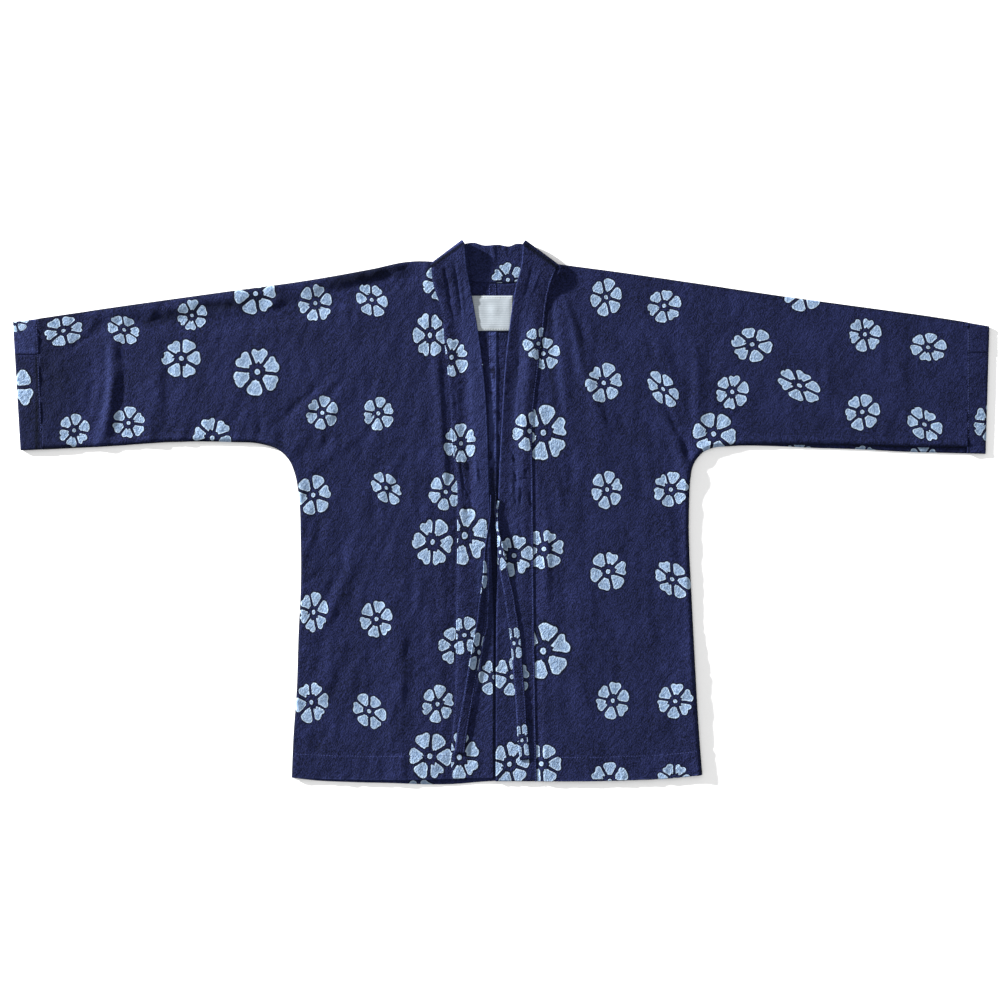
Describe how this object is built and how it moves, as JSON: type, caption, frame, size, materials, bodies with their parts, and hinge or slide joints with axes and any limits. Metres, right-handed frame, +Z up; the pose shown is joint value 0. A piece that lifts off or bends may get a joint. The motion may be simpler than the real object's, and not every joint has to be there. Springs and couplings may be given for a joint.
{
  "type": "open cotton haori jacket laid flat",
  "caption": "Open cotton haori laid flat, front up: wide grown-on sleeves with turned-up cuffs, a straight collar band down both front edges, a pair of ties and a sewn-in neck label.",
  "frame": {"origin": "on the surface the haori lies on, under the middle of its outline", "axes": "+Z up out of the front, +Y from the hem towards the collar, +X along the sleeves to the right as seen from above, which is the wearer's left"},
  "size_m": [1.3658, 0.7617, 0.0137],
  "materials": {
    "printed indigo cotton": "matt dyed cotton",
    "label cotton": "plain woven undyed cotton"
  },
  "bodies": {
    "root": {"back_left": "printed indigo cotton", "back_right": "printed indigo cotton", "front_left": "printed indigo cotton", "front_right": "printed indigo cotton", "cuff_left": "printed indigo cotton", "cuff_right": "printed indigo cotton", "collar": "printed indigo cotton", "tie_left": "printed indigo cotton", "tie_right": "printed indigo cotton", "label": "label cotton"}
  },
  "joints": []
}
